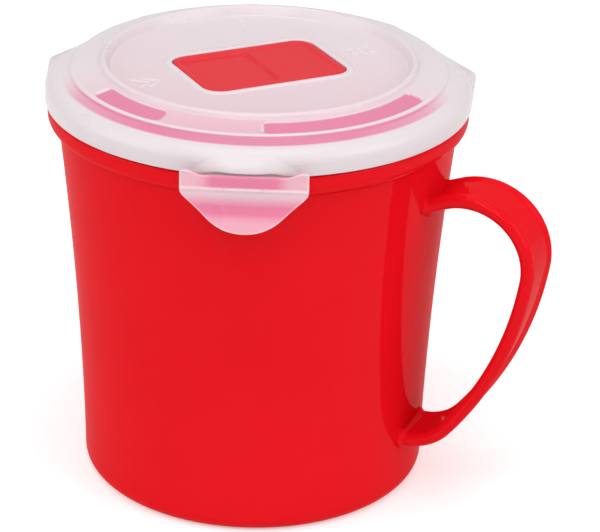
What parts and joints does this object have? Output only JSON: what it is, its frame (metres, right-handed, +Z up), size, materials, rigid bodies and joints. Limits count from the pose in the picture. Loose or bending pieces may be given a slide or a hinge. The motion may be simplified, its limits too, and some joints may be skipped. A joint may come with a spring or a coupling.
{
  "type": "soup_mug",
  "caption": "Red moulded soup mug with a strap handle, a frosted clip-on lid and a red rocking steam vent on top.",
  "frame": {"origin": "the middle of the flat base, on the mug's axis", "axes": "+Z up along the mug's axis, +X towards the handle, +Y to the left of the handle seen from above"},
  "size_m": [0.145, 0.1248, 0.1207],
  "materials": {
    "red_plastic": "moulded polypropylene, smooth satin gloss",
    "frosted_plastic": "milky translucent polypropylene, satin",
    "silicone": "soft translucent silicone, matt"
  },
  "bodies": {
    "mug": {"mug_body": "red_plastic"},
    "lid": {"lid": "frosted_plastic", "lid_seal": "silicone"},
    "front_clip": {"front_clip": "frosted_plastic"},
    "rear_clip": {"rear_clip": "frosted_plastic"},
    "vent": {"vent_rocker": "red_plastic", "vent_plug": "silicone"}
  },
  "joints": [
    {"name": "lid_lift", "type": "slide", "parent": "mug", "child": "lid", "axis": [0, 0, 1], "range_m": [0, 0.06]},
    {"name": "front_clip_hinge", "type": "hinge", "parent": "lid", "child": "front_clip", "pos_m": [0.02154, -0.05525, 0.10965], "axis": [-0.9317, -0.3633, 0], "range_deg": [0, 110]},
    {"name": "rear_clip_hinge", "type": "hinge", "parent": "lid", "child": "rear_clip", "pos_m": [-0.02154, 0.05525, 0.10965], "axis": [0.9317, 0.3633, 0], "range_deg": [0, 110]},
    {"name": "vent_rock", "type": "hinge", "parent": "lid", "child": "vent", "pos_m": [0.00109, 0.0013, 0.11485], "axis": [0.766, -0.6428, 0], "range_deg": [0, 10]}
  ]
}
